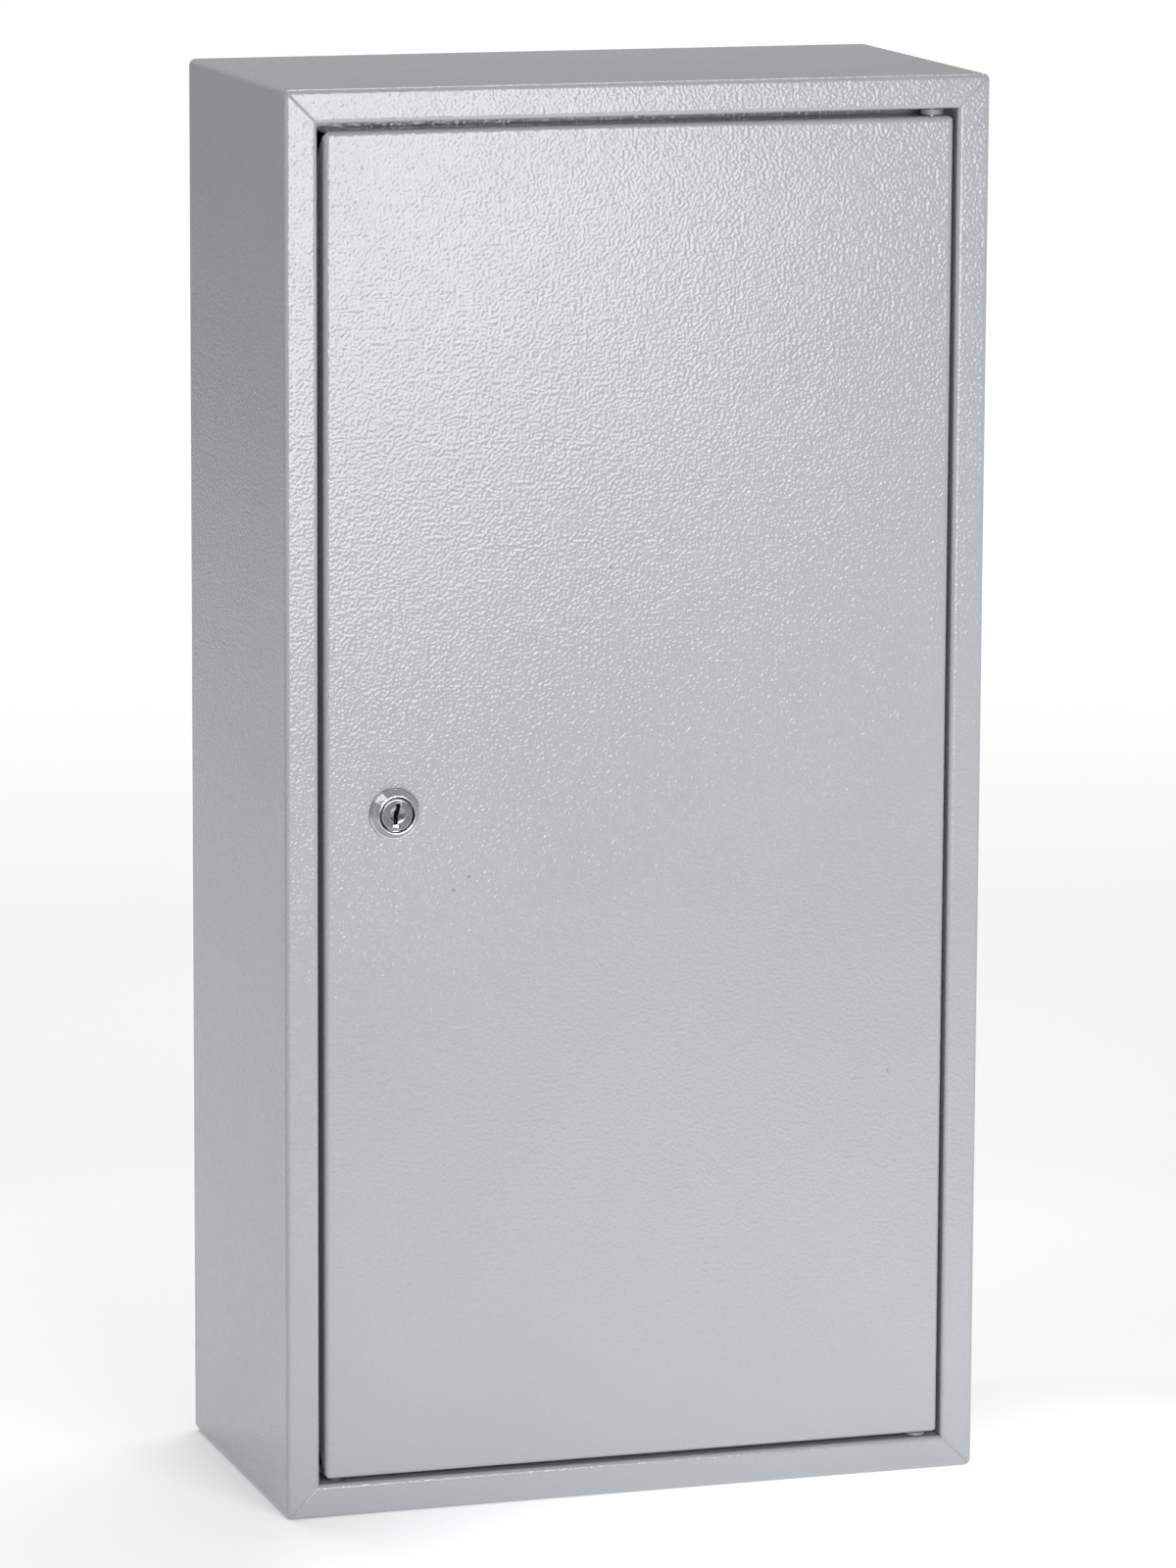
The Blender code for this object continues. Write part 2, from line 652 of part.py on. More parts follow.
def build_cam(parent, place, zinc):
    """Flat cam, square-holed for the stub. It hangs down while the lock is open."""
    hub, tip = CAM_HUB / 2, CAM_TIP / 2
    tip_round = 2 * MM
    end = -CAM_REACH
    outline = (
        arc((0, 0), hub, 0, 180, 10)
        + arc((-tip + tip_round, end + tip_round), tip_round, 180, 270)
        + arc((tip - tip_round, end + tip_round), tip_round, 270, 360)
    )
    mesh = to_mesh("lock_cam", prism(outline, CAM_FRONT - CAM_SHEET, CAM_FRONT))
    cam = add_piece("lock_cam", mesh, zinc, parent, **place)
    square = bmesh.new()
    hole = STUB + 2 * FIT_GAP
    add_box(square, (hole, hole, 3 * CAM_SHEET), (0, 0, CAM_FRONT - CAM_SHEET / 2))
    apply_tool(cam, add_cutter("cam_square", square, parent, **place))


def build_lock_fasteners(door, lock, place, turning_place, zinc):
    """Behind the door: star washer and nut on the barrel. Behind the cam: spring washer and screw."""
    clear = BARREL_WIDTH / 2 + FIT_GAP
    star_front = -DOOR_SHEET - FIT_GAP
    star = [
        (clear, star_front),
        (STAR_WIDTH / 2, star_front),
        (STAR_WIDTH / 2, star_front - STAR_THICK),
        (clear, star_front - STAR_THICK),
    ]
    add_piece("lock_washer", to_mesh("lock_washer", turned(star, 24)), zinc, door, **place)
    nut_front = star_front - STAR_THICK - FIT_GAP
    hexagon = arc((0, 0), NUT_FLATS / math.sqrt(3), 0, 300, steps=5)
    mesh = to_mesh("lock_nut", prism(hexagon, nut_front - NUT_THICK, nut_front))
    nut = add_piece("lock_nut", mesh, zinc, door, **place)
    bore = bmesh.new()
    add_cylinder(bore, 2 * clear, 3 * NUT_THICK, (0, 0, nut_front - NUT_THICK / 2), "Z", steps=24)
    apply_tool(nut, add_cutter("nut_bore", bore, door, **place))

    washer_front = CAM_FRONT - CAM_SHEET - 0.2 * MM - FIT_GAP
    washer_thick = 0.9 * MM
    hole, rim = SCREW_SHANK / 2 + FIT_GAP, 4.8 * MM
    washer = [
        (hole, washer_front),
        (rim, washer_front),
        (rim, washer_front - washer_thick),
        (hole, washer_front - washer_thick),
    ]
    add_piece("cam_washer", to_mesh("cam_washer", turned(washer, 20)), zinc, lock, **turning_place)
    seat = washer_front - washer_thick - FIT_GAP
    screw = screw_outline(SCREW_SHANK - 2 * FIT_GAP, SCREW_HEAD, SCREW_HEAD_THICK, 5.5 * MM)
    screw = [(radius, seat - height) for radius, height in screw]
    add_piece("cam_screw", to_mesh("cam_screw", turned(screw, 16)), zinc, lock, **turning_place)


def build_lock(door, platings):
    """Lock pieces face the user: their local Z points out of the door, along world -Y."""
    chrome, nickel, zinc = platings
    facing = (math.pi / 2, 0, 0)
    on_door = {"location": (LOCK_X - HINGE_X, -HINGE_SETBACK, DOOR_MIDDLE), "rotation": facing}
    lock_axis = add_empty("lock_axis", on_door["location"], door)
    turning = {"location": (0, 0, 0), "rotation": facing}
    build_lock_housing(door, on_door, chrome)
    build_lock_plug(lock_axis, turning, nickel)
    build_cam(lock_axis, turning, zinc)
    build_lock_fasteners(door, lock_axis, on_door, turning, zinc)


def main():
    clear_scene()
    paint = material("light_grey_paint", (0.58, 0.60, 0.62), 0.42)
    zinc = material("zinc_plated_steel", (0.62, 0.63, 0.62), 0.35, 1.0)
    chrome = material("polished_chrome", (0.80, 0.80, 0.81), 0.10, 1.0)
    nickel = material("satin_nickel", (0.50, 0.50, 0.50), 0.35, 1.0)
    nylon = material("grey_nylon", (0.30, 0.30, 0.31), 0.5)
    plastic = material("white_plastic", (0.85, 0.85, 0.84), 0.45)

    cabinet = add_empty("cabinet")
    door = add_empty("door_hinge_axis", (HINGE_X, front(HINGE_SETBACK), 0), cabinet)
    build_shell(cabinet, paint)
    build_back_panel(cabinet, paint)
    build_hinge("top", 1, GAP_TOP, cabinet, zinc, nylon)
    build_hinge("bottom", -1, GAP_BOTTOM, cabinet, zinc, nylon)
    build_uprights(cabinet, zinc)
    build_rails(cabinet, zinc, plastic)
    build_door_panel(door, paint)
    build_lock(door, (chrome, nickel, zinc))


main()
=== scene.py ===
"""Looks of the wall key cabinet: sheet-metal shapes, powder coat, plated metal, numbers, light and camera.

Metres, in the CAD's frame: +X right, +Y into the wall, +Z up. The origin is at the centre of the rear face.
"""

import math

import bmesh
import bpy
from mathutils import Matrix, Vector


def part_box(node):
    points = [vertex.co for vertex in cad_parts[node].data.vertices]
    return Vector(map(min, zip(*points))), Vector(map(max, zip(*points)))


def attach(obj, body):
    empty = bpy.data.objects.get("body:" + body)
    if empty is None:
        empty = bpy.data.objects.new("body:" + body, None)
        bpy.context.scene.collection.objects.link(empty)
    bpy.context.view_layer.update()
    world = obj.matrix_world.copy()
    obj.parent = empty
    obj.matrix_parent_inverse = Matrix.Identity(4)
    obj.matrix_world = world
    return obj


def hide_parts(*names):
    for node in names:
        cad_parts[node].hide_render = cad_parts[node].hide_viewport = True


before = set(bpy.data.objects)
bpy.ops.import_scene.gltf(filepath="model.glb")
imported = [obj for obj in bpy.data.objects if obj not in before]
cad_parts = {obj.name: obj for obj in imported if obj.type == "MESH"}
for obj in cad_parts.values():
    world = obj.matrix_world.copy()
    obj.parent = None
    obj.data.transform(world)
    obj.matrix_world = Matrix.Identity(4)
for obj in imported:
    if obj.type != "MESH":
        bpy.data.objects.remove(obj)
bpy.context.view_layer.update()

MM = 0.001

# Sizes shared with the CAD. GAP is the clearance between fitted parts.
WIDTH, HEIGHT, DEPTH = 280 * MM, 550 * MM, 140 * MM
GAP = 0.3 * MM
SHELL_SHEET, SHELL_BEND = 1.2 * MM, 2.0 * MM
FRAME_FACE, JAMB_DEPTH, STOP_LIP = 13.0 * MM, 18.2 * MM, 4.0 * MM
BACK_RIM, WALL_HOLE = 12 * MM, 8 * MM
WALL_HOLE_X, WALL_HOLE_Z = 110 * MM, 240 * MM
DOOR_SHEET, DOOR_BEND, DOOR_FLANGE = 1.0 * MM, 2.5 * MM, 13.5 * MM
HINGE_X, HINGE_INSET, HINGE_SETBACK, HINGE_HOLE = 117.9 * MM, 7.5 * MM, 6.0 * MM, 5.0 * MM
WASHER_RADIUS = 4.1 * MM
LOCK_X = -97.3 * MM
BARREL_WIDTH, BARREL_FLATS = 16.0 * MM, 14.2 * MM
PLUG_FACE, CAM_THICK, CAM_REACH = 4.0 * MM, 2.0 * MM, 31.0 * MM
UPRIGHT_WEB, UPRIGHT_FOOT, UPRIGHT_SHEET, UPRIGHT_DEPTH = 16 * MM, 6 * MM, 1.0 * MM, 8 * MM
RACK_HOLES, RACK_PITCH, SCREW_HOLE = 23, 20 * MM, 4.6 * MM
RAIL_SHEET, RAIL_WIDTH, RAIL_TOP, RAIL_SCREW_X = 1.5 * MM, 244 * MM, 8 * MM, 90 * MM
RAIL_COUNT = 6
HOOK_WIDTH, HOOK_PITCH, HOOK_COUNT = 5 * MM, 30 * MM, 8
FIGURE_SIZE, FIGURE_RELIEF = 6.4 * MM, 0.03 * MM
SCREW_HEAD, SCREW_HEAD_THICK = 3.8 * MM, 2.4 * MM

BEND_STEPS = 8
CORNER_RADIUS = 2.6 * MM
CORNERS = [(side_x, side_z) for side_x in (-1, 1) for side_z in (-1, 1)]

# Outline of the key slot in the plug's face, in millimetres, from its upper left anticlockwise
KEYWAY = (
    (-0.35, 4.45),
    (-0.43, 3.0),
    (-1.22, 1.2),
    (-1.36, -1.8),
    (-1.52, -3.75),
    (0.22, -3.75),
    (0.34, -1.05),
    (0.84, 0.8),
    (1.12, 2.7),
    (1.30, 4.45),
)

# Studio. The floor's two directions are ahead of the camera and roughly to its right.
FLOOR_DROP, FLOOR_GREY = 0.2 * MM, 0.93
FLOOR_AHEAD, FLOOR_ACROSS = (0.302, 0.953, 0.0), (0.979, -0.203, 0.0)
# Painted light on the floor: the centre of a glowing pool before the door, that pool's share of glow, and the
# share of the glow round the cabinet.
FRONT_GLOW_POOL, POOL_GLOW_SHARE, NEAR_GLOW_SHARE = (0.12, -0.36, 0.0), 0.75, 0.14
WORLD_STRENGTH = 0.35
CAMERA_AT, CAMERA_LENS = (-0.8853, -2.874, 0.5311), 175.0
CAMERA_YAW, CAMERA_PITCH, CAMERA_ROLL = 17.557, 10.358, 0.273


# ---------------------------------------------------------------- mesh helpers


def arc(centre, radius, start, end, steps=BEND_STEPS):
    angles = [math.radians(start + (end - start) * i / steps) for i in range(steps + 1)]
    return [(centre[0] + radius * math.cos(a), centre[1] + radius * math.sin(a)) for a in angles]


def rounded_loop(half_x, half_z, radius, steps=6):
    loop = []
    for number, (side_x, side_z) in enumerate(((1, 1), (-1, 1), (-1, -1), (1, -1))):
        centre = (side_x * (half_x - radius), side_z * (half_z - radius))
        loop += arc(centre, radius, 90 * number, 90 * number + 90, steps)
    return loop


def sweep_round(profile, half_x, half_z, corner, closed):
    """Carries a profile of (inset, depth) points round a rectangle in the XZ plane, with depth along +Y."""
    bm = bmesh.new()
    loops = []
    for inset, depth in profile:
        points = rounded_loop(half_x - inset, half_z - inset, max(corner - inset, 0))
        loops.append([bm.verts.new((x, depth, z)) for x, z in points])
    pairs = list(zip(loops, loops[1:]))
    if closed:
        pairs.append((loops[-1], loops[0]))
    else:
        bm.faces.new(loops[0])
        bm.faces.new(loops[-1])
    for near, far in pairs:
        for i in range(len(near)):
            j = (i + 1) % len(near)
            bm.faces.new((near[i], near[j], far[j], far[i]))
    return bm


def pan_profile(rim, sheet, bend):
    corner = (bend, bend)
    return arc(corner, bend, 270, 180) + [(0, rim), (sheet, rim)] + arc(corner, bend - sheet, 180, 270)


def close_between(bm, near, far):
    """Adds a closed solid between two rings of points."""
    near = [bm.verts.new(point) for point in near]
    far = [bm.verts.new(point) for point in far]
    bm.faces.new(near)
    bm.faces.new(far)
    for i in range(len(near)):
        j = (i + 1) % len(near)
        bm.faces.new((near[i], near[j], far[j], far[i]))


def prism(outline, low, high):
    bm = bmesh.new()
    close_between(bm, [(x, y, low) for x, y in outline], [(x, y, high) for x, y in outline])
    return bm


def turned(outline, steps=96):
    """A solid of revolution about local Z from (radius, height) points."""
    bm = bmesh.new()
    verts = [bm.verts.new((radius, 0, height)) for radius, height in outline]
    pairs = list(zip(verts, verts[1:]))
    if outline[0][0] > 0:
        pairs.append((verts[-1], verts[0]))
    edges = [bm.edges.new(pair) for pair in pairs]
    bmesh.ops.spin(
        bm, geom=verts + edges, axis=(0, 0, 1), cent=(0, 0, 0), steps=steps, angle=math.tau, use_merge=True
    )
    return bm


def add_box(bm, size, centre, turn=0.0, axis="Y"):
    place = Matrix.Translation(centre) @ Matrix.Rotation(math.radians(turn), 4, axis)
    bmesh.ops.create_cube(bm, size=1.0, matrix=place @ Matrix.Diagonal((*size, 1.0)))


def add_cylinder(bm, diameter, length, centre, axis, steps=48):
    """Adds a cylinder along Y or Z."""
    turn = {"Y": Matrix.Rotation(math.pi / 2, 4, "X"), "Z": Matrix()}
    bmesh.ops.create_cone(
        bm,
        cap_ends=True,
        segments=steps,
        radius1=diameter / 2,
        radius2=diameter / 2,
        depth=length,
        matrix=Matrix.Translation(centre) @ turn[axis],
    )


def weld(bm):
    bmesh.ops.remove_doubles(bm, verts=bm.verts, dist=1e-6)
    bmesh.ops.dissolve_degenerate(bm, edges=bm.edges, dist=1e-7)


def mesh_object(name, bm):
    """Makes an object of a bmesh, which is used up."""
    weld(bm)
    bmesh.ops.recalc_face_normals(bm, faces=bm.faces)
    mesh = bpy.data.meshes.new(name)
    bm.to_mesh(mesh)
    bm.free()
    made = bpy.data.objects.new(name, mesh)
    bpy.context.scene.collection.objects.link(made)
    return made


def baked(obj):
    """Replaces an object's mesh with the result of its modifiers."""
    bpy.context.view_layer.update()
    evaluated = obj.evaluated_get(bpy.context.evaluated_depsgraph_get())
    mesh = bpy.data.meshes.new_from_object(evaluated)
    obj.modifiers.clear()
    obj.data = mesh
    return obj


def carve(obj, *tools, operation="DIFFERENCE"):
    """Cuts closed bmeshes out of an object, or joins them to it."""
    for bm in tools:
        tool = mesh_object("tool", bm)
        tool.matrix_world = obj.matrix_world
        boolean = obj.modifiers.new("cut", "BOOLEAN")
        boolean.operation = operation
        boolean.solver = "EXACT"
        boolean.use_self = True
        boolean.object = tool
        baked(obj)
        bpy.data.objects.remove(tool)
    return obj


def break_edges(obj, width, limit, segments):
    bevel = obj.modifiers.new("edges", "BEVEL")
    bevel.width = width
    bevel.segments = segments
    bevel.limit_method = "ANGLE"
    bevel.angle_limit = math.radians(limit)
    bevel.use_clamp_overlap = True
    bevel.miter_outer = "MITER_ARC"
    baked(obj)


def shade_piece(obj):
    """Welds what the bevel left double, and shades smooth between the sharp edges."""
    bm = bmesh.new()
    bm.from_mesh(obj.data)
    weld(bm)
    bm.to_mesh(obj.data)
    bm.free()
    obj.data.shade_smooth()
    obj.data.set_sharp_from_angle(angle=math.radians(40))
    weighted = obj.modifiers.new("normals", "WEIGHTED_NORMAL")
    weighted.keep_sharp = True


def finish_piece(obj, finish, body, slot, *nodes, edge=0.15 * MM, limit=32, segments=2):
    """Breaks the sharp edges, shades smooth, and hands the piece to its body in place of its CAD nodes."""
    obj.data.materials.clear()
    obj.data.materials.append(finish)
    break_edges(obj, edge, limit, segments)
    shade_piece(obj)
    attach(obj, body)
    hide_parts(*nodes)


def facing(x, y, z):
    """Stands a piece made about local Z on the door's side: its local Z points at the user."""
    return Matrix.Translation((x, y, z)) @ Matrix.Rotation(math.pi / 2, 4, "X")


def placed(obj, matrix):
    obj.data.transform(matrix)
    return obj


# ------------------------------------------------------------------ materials


class Nodes:
    """Shorthand for building a node tree."""

    def __init__(self, name):
        self.material = bpy.data.materials.new(name)
        self.material.use_nodes = True
        self.tree = self.material.node_tree
        self.shader = self.tree.nodes["Principled BSDF"]
        coords = self.tree.nodes.new("ShaderNodeTexCoord")
        self.place = coords.outputs["Object"]

    def add(self, kind, inputs=(), **settings):
        node = self.tree.nodes.new(kind)
        for key, value in settings.items():
            setattr(node, key, value)
        for key, value in dict(inputs).items():
            self.put(node.inputs[key], value)
        return node

    def put(self, socket, value):
        if isinstance(value, bpy.types.NodeSocket):
            self.tree.links.new(value, socket)
        else:
            socket.default_value = value

    def stretch(self, scale):
        node = self.add("ShaderNodeMapping", {"Vector": self.place, "Scale": scale})
        return node.outputs["Vector"]

    def noise(self, scale, detail=2.0, roughness=0.5, vector=None):
        inputs = {"Vector": vector or self.place, "Scale": scale, "Detail": detail, "Roughness": roughness}
        return self.add("ShaderNodeTexNoise", inputs).outputs["Fac"]

    def cells(self, scale, vector=None):
        inputs = {"Vector": vector or self.place, "Scale": scale}
        return self.add("ShaderNodeTexVoronoi", inputs, feature="F1").outputs["Distance"]

    def ramp(self, value, low, high, out_low=0.0, out_high=1.0):
        inputs = {"Value": value, "From Min": low, "From Max": high, "To Min": out_low, "To Max": out_high}
        return self.add("ShaderNodeMapRange", inputs).outputs["Result"]

    def sum(self, first, second, weight=1.0):
        scaled = self.product(second, weight)
        return self.add("ShaderNodeMath", {0: first, 1: scaled}, operation="ADD").outputs[0]

    def measure(self, operation, other=(0.0, 0.0, 0.0)):
        """The surface point's DISTANCE from another point, or its DOT_PRODUCT with a direction."""
        node = self.add("ShaderNodeVectorMath", {0: self.place, 1: other}, operation=operation)
        return node.outputs["Value"]

    def product(self, first, second):
        return self.add("ShaderNodeMath", {0: first, 1: second}, operation="MULTIPLY").outputs[0]

    def mix(self, factor, first, second):
        node = self.add("ShaderNodeMix", {"Factor": factor}, data_type="RGBA")
        self.put(node.inputs["A"], (*first, 1.0) if isinstance(first, tuple) else first)
        self.put(node.inputs["B"], (*second, 1.0) if isinstance(second, tuple) else second)
        return node.outputs["Result"]

    def bump(self, height, strength, distance):
        inputs = {"Height": height, "Strength": strength, "Distance": distance}
        return self.add("ShaderNodeBump", inputs).outputs["Normal"]

    def set(self, **values):
        for key, value in values.items():
            self.put(self.shader.inputs[key.replace("_", " ")], value)
        return self.material


def powder_coat():
    """Light grey polyester coat: a fine glossy orange peel, faint clouding, and a few dark specks."""
    n = Nodes("powder_coat")
    n.set(Metallic=0.0, IOR=1.55)
    peel = n.noise(800, detail=0.6, roughness=0.4)
    broad = n.noise(330, detail=0.0)
    normal = n.bump(n.sum(peel, broad, 0.35), 1.0, 0.20 * MM)
    clouds = n.ramp(n.noise(9, detail=3.0), 0.3, 0.7)
    colour = n.mix(clouds, (0.366, 0.381, 0.405), (0.384, 0.399, 0.421))
    specks = n.ramp(n.cells(55), 0.035, 0.055)
    rare = n.ramp(n.noise(16, detail=0.0), 0.64, 0.66, 1.0, 0.0)
    seen = n.add("ShaderNodeMath", {0: specks, 1: rare}, operation="MAXIMUM").outputs[0]
    colour = n.mix(seen, (0.25, 0.26, 0.28), colour)
    roughness = n.ramp(n.noise(60, detail=3.0), 0.3, 0.7, 0.15, 0.19)
    return n.set(Base_Color=colour, Roughness=roughness, Normal=normal)


def chrome():
    n = Nodes("polished_chrome")
    n.set(Metallic=1.0)
    haze = n.ramp(n.noise(900, detail=3.0), 0.35, 0.7, 0.05, 0.11)
    normal = n.bump(n.noise(700, detail=2.0), 0.05, 0.05 * MM)
    tint = n.mix(n.noise(300, detail=1.0), (0.58, 0.59, 0.60), (0.64, 0.65, 0.66))
    return n.set(Base_Color=tint, Roughness=haze, Normal=normal)


def satin_nickel():
    """Plated die casting, with fine random tooling marks."""
    n = Nodes("satin_nickel")
    n.set(Metallic=1.0)
    marks = n.noise(2600, detail=3.0)
    blotch = n.ramp(n.noise(800, detail=3.0), 0.3, 0.7)
    tint = n.mix(blotch, (0.27, 0.28, 0.29), (0.35, 0.36, 0.37))
    roughness = n.ramp(n.noise(1200, detail=2.0), 0.3, 0.7, 0.12, 0.20)
    return n.set(Base_Color=tint, Roughness=roughness, Normal=n.bump(marks, 0.15, 0.03 * MM))


def zinc_plate():
    """Bright zinc with the faint crystalline patches and rolling marks of plated strip."""
    n = Nodes("zinc_plate")
    n.set(Metallic=1.0)
    patches = n.cells(130, vector=n.stretch((1.0, 1.0, 1.6)))
    shade = n.ramp(n.sum(patches, n.noise(35, detail=4.0), 0.8), 0.35, 1.0)
    tint = n.mix(shade, (0.60, 0.61, 0.62), (0.74, 0.75, 0.75))
    grain = n.noise(60, detail=3.0, vector=n.stretch((1.0, 14.0, 40.0)))
    roughness = n.ramp(grain, 0.3, 0.7, 0.26, 0.42)
    return n.set(Base_Color=tint, Roughness=roughness, Normal=n.bump(grain, 0.12, 0.08 * MM))


def plastic(name, dark, light, roughness, scale):
    n = Nodes(name)
    n.set(Metallic=0.0)
    tint = n.mix(n.noise(scale, detail=3.0), dark, light)
    normal = n.bump(n.noise(scale * 12, detail=2.0), 0.15, 0.05 * MM)
    spread = n.ramp(n.noise(scale * 3, detail=2.0), 0.3, 0.7, roughness - 0.05, roughness + 0.05)
    return n.set(Base_Color=tint, Roughness=spread, Normal=normal)


PAINT = powder_coat()
CHROME = chrome()
NICKEL = satin_nickel()
ZINC = zinc_plate()
NYLON = plastic("grey_nylon", (0.22, 0.225, 0.235), (0.27, 0.275, 0.285), 0.45, 150)
LABEL = plastic("white_label", (0.80, 0.80, 0.78), (0.86, 0.86, 0.84), 0.42, 40)
INK = plastic("black_ink", (0.012, 0.012, 0.013), (0.022, 0.022, 0.024), 0.5, 400)


# -------------------------------------------------------------------- cabinet


def shell_profile():
    inner = SHELL_BEND - SHELL_SHEET
    outer_corner = (SHELL_BEND, SHELL_BEND)
    frame_corner = (FRAME_FACE - SHELL_BEND, SHELL_BEND)
    lip_corner = (FRAME_FACE + inner, JAMB_DEPTH - SHELL_BEND)
    lip_edge = FRAME_FACE + STOP_LIP
    return (
        [(0, DEPTH)]
        + arc(outer_corner, SHELL_BEND, 180, 270)
        + arc(frame_corner, SHELL_BEND, 270, 360)
        + arc(lip_corner, inner, 180, 90)
        + [(lip_edge, JAMB_DEPTH - SHELL_SHEET), (lip_edge, JAMB_DEPTH)]
        + arc(lip_corner, SHELL_BEND, 90, 180)
        + arc(frame_corner, inner, 360, 270)
        + arc(outer_corner, inner, 270, 180)
        + [(SHELL_SHEET, DEPTH)]
    )


def mitre_groove():
    """Shallow painted grooves along the mitres, and open slits through the jambs' corners."""
    bm = bmesh.new()
    half, deep, above, slit = 0.62 * MM, 0.34 * MM, 0.5 * MM, 0.45 * MM
    wide = half * (1 + above / deep)
    slit_from, slit_to = FRAME_FACE - 0.2 * MM, FRAME_FACE + STOP_LIP + 2 * MM
    middle, length = (slit_from + slit_to) / 2, (slit_to - slit_from) * math.sqrt(2)
    for side_x, side_z in CORNERS:
        across = Vector((side_z, 0, -side_x)) / math.sqrt(2)
        rings = []
        for inset in (1.2 * MM, FRAME_FACE + 1 * MM):
            point = Vector((side_x * (WIDTH / 2 - inset), -DEPTH, side_z * (HEIGHT / 2 - inset)))
            top = point - Vector((0, above, 0))
            rings.append([top - across * wide, top + across * wide, point + Vector((0, deep, 0))])
        close_between(bm, *rings)
        x, z = side_x * (WIDTH / 2 - middle), side_z * (HEIGHT / 2 - middle)
        size = (length, JAMB_DEPTH + 2 * MM, slit)
        add_box(bm, size, (x, -DEPTH + JAMB_DEPTH / 2, z), turn=-45 * side_x * side_z)
    return bm


def pin_holes():
    bm = bmesh.new()
    for side_x, side_z in CORNERS:
        jamb = side_z * (HEIGHT / 2 - FRAME_FACE + SHELL_SHEET / 2)
        centre = (side_x * HINGE_X, -DEPTH + HINGE_SETBACK, jamb)
        add_cylinder(bm, HINGE_HOLE, 3 * SHELL_SHEET, centre, "Z")
    return bm


def build_shell():
    bm = sweep_round(shell_profile(), WIDTH / 2, HEIGHT / 2, CORNER_RADIUS, closed=True)
    shell = placed(mesh_object("shell", bm), Matrix.Translation((0, -DEPTH, 0)))
    carve(shell, mitre_groove(), pin_holes())
    finish_piece(shell, PAINT, "cabinet", "paint", "body_shell", edge=0.14 * MM)


def build_back():
    inset = SHELL_SHEET + GAP
    profile = pan_profile(BACK_RIM, SHELL_SHEET, SHELL_BEND)
    bm = sweep_round(profile, WIDTH / 2 - inset, HEIGHT / 2 - inset, 0.8 * MM, closed=False)
    panel = placed(mesh_object("back", bm), Matrix.Rotation(math.pi, 4, "Z"))
    holes = bmesh.new()
    for side_x, side_z in CORNERS:
        add_cylinder(holes, WALL_HOLE, 8 * MM, (side_x * WALL_HOLE_X, 0, side_z * WALL_HOLE_Z), "Y")
    carve(panel, holes)
    finish_piece(panel, PAINT, "cabinet", "paint", "back_panel")


def build_hinge_pin(name, side):
    low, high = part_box(f"hinge_pin_{name}")
    half, head, shank, crown = (high.z - low.z) / 2, 3.5 * MM, 2.2 * MM, 1.5 * MM
    tip_round, head_round = 0.6 * MM, 0.5 * MM
    outline = (
        [(0, -half)]
        + arc((shank - tip_round, -half + tip_round), tip_round, 270, 360, 5)
        + [(shank, half - crown), (head, half - crown)]
        + arc((head - head_round, half - head_round), head_round, 0, 90, 5)
        + [(0, half)]
    )
    turn = Matrix.Translation((low + high) / 2) @ Matrix.Rotation(0 if side > 0 else math.pi, 4, "X")
    pin = placed(mesh_object(f"pivot_{name}", turned(outline, 48)), turn)
    finish_piece(pin, ZINC, "cabinet", "zinc", f"hinge_pin_{name}", edge=0.1 * MM)


def flat_ring(bore, radius, low, high):
    return [(bore, low), (radius, low), (radius, high), (bore, high)]


def build_hinge_washer(name):
    low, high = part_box(f"hinge_washer_{name}")
    half = (high.z - low.z) / 2
    bm = turned(flat_ring(HINGE_HOLE / 2, WASHER_RADIUS, -half, half), 64)
    washer = placed(mesh_object(f"pivot_washer_{name}", bm), Matrix.Translation((low + high) / 2))
    finish_piece(washer, NYLON, "cabinet", "nylon", f"hinge_washer_{name}", edge=0.25 * MM)


def build_hinges():
    for name, side in (("top", 1), ("bottom", -1)):
        build_hinge_pin(name, side)
        build_hinge_washer(name)


# ----------------------------------------------------------------------- door


def cut_notch(bm, edge_x, edge_z, side_x, side_z):
    """A square relief at one corner, just behind the door's face."""
    notch, over, depth, behind = 1.5 * MM, 1 * MM, 20 * MM, 0.9 * MM
    shift = (over - notch) / 2
    centre = (edge_x + side_x * shift, behind + depth / 2, edge_z + side_z * shift)
    add_box(bm, (notch + over, depth, notch + over), centre)


def cut_slope(bm, edge_x, edge_z, side_x, side_z):
    """Slopes the end of a side flange away from the corner."""
    over, start = 1 * MM, 0.3 * MM
    beyond = DOOR_FLANGE + 2 * MM
    outer, inner = edge_x + side_x * over, edge_x - side_x * (DOOR_SHEET + 0.3 * MM)
    slope = [
        (start, edge_z + side_z * over),
        (beyond, edge_z + side_z * over),
        (beyond, edge_z - side_z * beyond),
        (start, edge_z - side_z * start),
    ]
    close_between(bm, [(outer, y, z) for y, z in slope], [(inner, y, z) for y, z in slope])


def door_reliefs(width, height):
    """Open corners: the top and bottom flanges end short, and the side flanges slope away."""
    bm = bmesh.new()
    for side_x, side_z in CORNERS:
        corner = (bm, side_x * width / 2, side_z * height / 2, side_x, side_z)
        cut_notch(*corner)
        cut_slope(*corner)
    return bm


def double_d(diameter, flats, steps=24):
    edge = math.degrees(math.acos(flats / diameter))
    upper = arc((0, 0), diameter / 2, edge, 180 - edge, steps)
    return upper + arc((0, 0), diameter / 2, 180 + edge, 360 - edge, steps)


